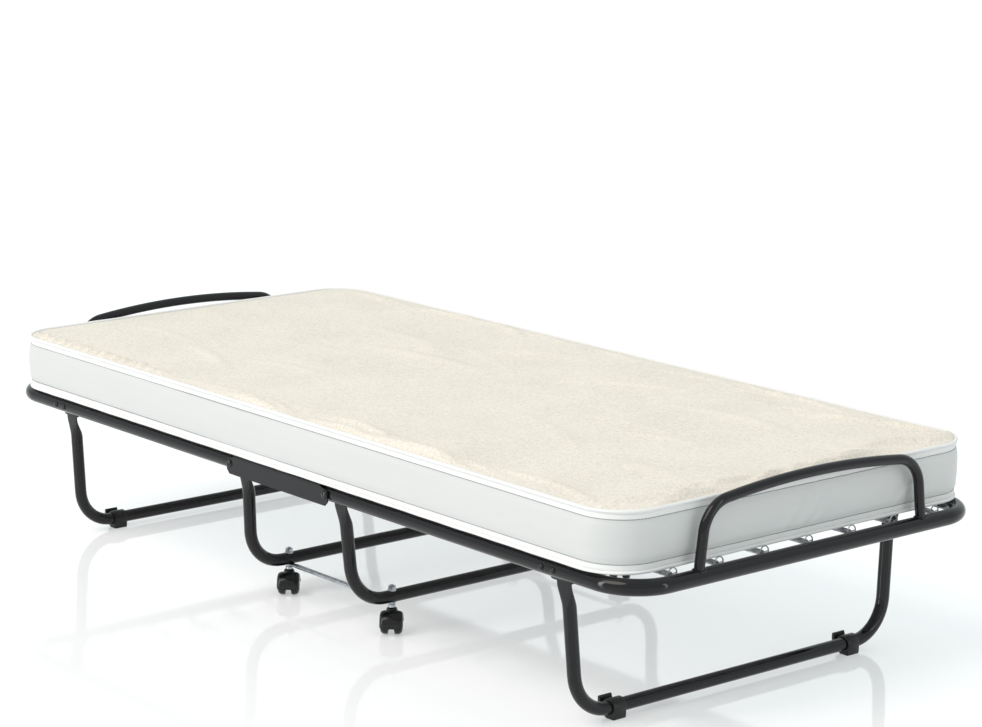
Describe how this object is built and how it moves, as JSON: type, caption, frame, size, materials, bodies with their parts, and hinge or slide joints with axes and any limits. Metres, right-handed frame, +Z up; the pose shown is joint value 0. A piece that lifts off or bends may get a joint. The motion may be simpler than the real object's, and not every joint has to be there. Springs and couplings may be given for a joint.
{
  "type": "folding cot",
  "caption": "Folding guest bed: tube frame on swivel casters, hinged at a centre trolley, with folding end legs, guard hoops, sprung deck and a padded mattress.",
  "frame": {"origin": "on the floor, midway between the head and foot ends and midway between the sides", "axes": "+X to the foot end, +Y to the far side, +Z up"},
  "size_m": [1.98, 0.9164, 0.4478],
  "materials": {
    "black_enamel": "gloss",
    "zinc": "satin",
    "black_plastic": "satin",
    "spring_steel": "satin",
    "mattress_fabric": "matte"
  },
  "bodies": {
    "trolley": {"hinge_channel_near": "black_enamel", "hinge_channel_far": "black_enamel", "tie_rod_near": "zinc", "tie_rod_far": "zinc", "middle_deck": "spring_steel", "mattress_middle": "mattress_fabric", "centre_leg_head": "black_enamel", "centre_leg_foot": "black_enamel", "hinge_bolt_head_near": "zinc", "hinge_bolt_head_far": "zinc", "hinge_bolt_foot_near": "zinc", "hinge_bolt_foot_far": "zinc", "caster_stem_head_near": "zinc", "caster_stem_head_far": "zinc", "caster_stem_foot_near": "zinc", "caster_stem_foot_far": "zinc"},
    "head_half": {"head_rail": "black_enamel", "head_hoop": "black_enamel", "head_deck": "spring_steel", "mattress_head": "mattress_fabric", "leg_bracket_head_near": "black_enamel", "leg_bracket_head_far": "black_enamel", "leg_pin_head_near": "zinc", "leg_pin_head_far": "zinc", "rivet_head_near_1": "black_enamel", "rivet_head_near_2": "black_enamel", "rivet_head_far_1": "black_enamel", "rivet_head_far_2": "black_enamel"},
    "foot_half": {"foot_rail": "black_enamel", "foot_hoop": "black_enamel", "foot_deck": "spring_steel", "mattress_foot": "mattress_fabric", "leg_bracket_foot_near": "black_enamel", "leg_bracket_foot_far": "black_enamel", "leg_pin_foot_near": "zinc", "leg_pin_foot_far": "zinc", "rivet_foot_near_1": "black_enamel", "rivet_foot_near_2": "black_enamel", "rivet_foot_far_1": "black_enamel", "rivet_foot_far_2": "black_enamel"},
    "head_leg_frame": {"head_leg": "black_enamel", "foot_clip_head_near": "black_plastic", "foot_clip_head_far": "black_plastic"},
    "foot_leg_frame": {"foot_leg": "black_enamel", "foot_clip_foot_near": "black_plastic", "foot_clip_foot_far": "black_plastic"},
    "caster_head_near": {"caster_housing_head_near": "black_plastic"},
    "wheels_head_near": {"caster_wheels_head_near": "black_plastic"},
    "caster_head_far": {"caster_housing_head_far": "black_plastic"},
    "wheels_head_far": {"caster_wheels_head_far": "black_plastic"},
    "caster_foot_near": {"caster_housing_foot_near": "black_plastic"},
    "wheels_foot_near": {"caster_wheels_foot_near": "black_plastic"},
    "caster_foot_far": {"caster_housing_foot_far": "black_plastic"},
    "wheels_foot_far": {"caster_wheels_foot_far": "black_plastic"}
  },
  "joints": [
    {"name": "head_fold", "type": "hinge", "parent": "trolley", "child": "head_half", "pos_m": [-0.154, 0, 0.295], "axis": [0, 1, 0], "range_deg": [0, 90], "deforming": ["mattress_middle"]},
    {"name": "foot_fold", "type": "hinge", "parent": "trolley", "child": "foot_half", "pos_m": [0.154, 0, 0.295], "axis": [0, -1, 0], "range_deg": [0, 90], "deforming": ["mattress_middle"]},
    {"name": "head_leg_fold", "type": "hinge", "parent": "head_half", "child": "head_leg_frame", "pos_m": [-0.786, 0, 0.287], "axis": [0, -1, 0], "range_deg": [0, 85]},
    {"name": "foot_leg_fold", "type": "hinge", "parent": "foot_half", "child": "foot_leg_frame", "pos_m": [0.786, 0, 0.287], "axis": [0, 1, 0], "range_deg": [0, 85]},
    {"name": "caster_swivel_head_near", "type": "hinge", "parent": "trolley", "child": "caster_head_near", "pos_m": [-0.166, -0.299, 0.045], "axis": [0, 0, 1], "continuous": true},
    {"name": "wheel_spin_head_near", "type": "hinge", "parent": "caster_head_near", "child": "wheels_head_near", "pos_m": [-0.15708, -0.30703, 0.021], "axis": [0.6691, 0.7431, 0], "continuous": true},
    {"name": "caster_swivel_head_far", "type": "hinge", "parent": "trolley", "child": "caster_head_far", "pos_m": [-0.166, 0.299, 0.045], "axis": [0, 0, 1], "continuous": true},
    {"name": "wheel_spin_head_far", "type": "hinge", "parent": "caster_head_far", "child": "wheels_head_far", "pos_m": [-0.15708, 0.29097, 0.021], "axis": [0.6691, 0.7431, 0], "continuous": true},
    {"name": "caster_swivel_foot_near", "type": "hinge", "parent": "trolley", "child": "caster_foot_near", "pos_m": [0.166, -0.299, 0.045], "axis": [0, 0, 1], "continuous": true},
    {"name": "wheel_spin_foot_near", "type": "hinge", "parent": "caster_foot_near", "child": "wheels_foot_near", "pos_m": [0.17492, -0.30703, 0.021], "axis": [0.6691, 0.7431, 0], "continuous": true},
    {"name": "caster_swivel_foot_far", "type": "hinge", "parent": "trolley", "child": "caster_foot_far", "pos_m": [0.166, 0.299, 0.045], "axis": [0, 0, 1], "continuous": true},
    {"name": "wheel_spin_foot_far", "type": "hinge", "parent": "caster_foot_far", "child": "wheels_foot_far", "pos_m": [0.17492, 0.29097, 0.021], "axis": [0.6691, 0.7431, 0], "continuous": true}
  ]
}
